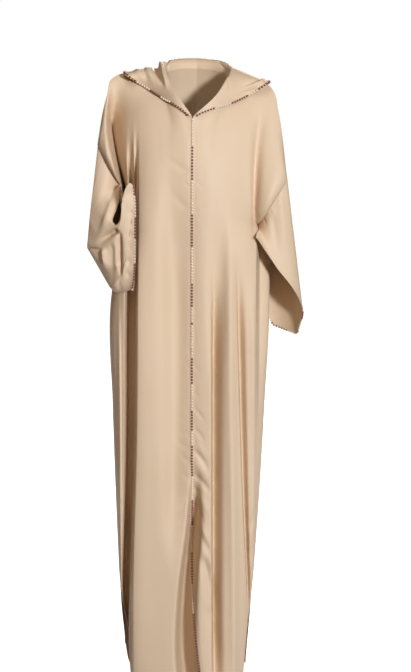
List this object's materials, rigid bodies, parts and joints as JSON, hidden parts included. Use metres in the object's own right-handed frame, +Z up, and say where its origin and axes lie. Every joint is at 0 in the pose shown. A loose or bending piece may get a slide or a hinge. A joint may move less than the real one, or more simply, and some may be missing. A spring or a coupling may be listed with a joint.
{
  "type": "djellaba",
  "caption": "Long hooded robe of satin crepe, worn open and hollow, with wide sleeves and knotted bead braid down the front, round the hood and on the cuffs.",
  "frame": {"origin": "between the shoulders at shoulder height, where the wearer holds the garment up", "axes": "+Z up along the garment, the front faces -Y, +X towards the wearer's left"},
  "size_m": [0.5227, 0.3091, 1.5255],
  "materials": {
    "cloth": "satin crepe, soft sheen",
    "braid": "knotted beads, maroon and cream"
  },
  "bodies": {
    "root": {"front_right": "cloth", "front_left": "cloth", "back": "cloth", "sleeve_right": "cloth", "sleeve_left": "cloth", "hood_right": "cloth", "hood_left": "cloth", "braid_front": "braid", "braid_hood_right": "braid", "braid_hood_left": "braid", "braid_cuff_right": "braid", "braid_cuff_left": "braid"}
  },
  "joints": []
}
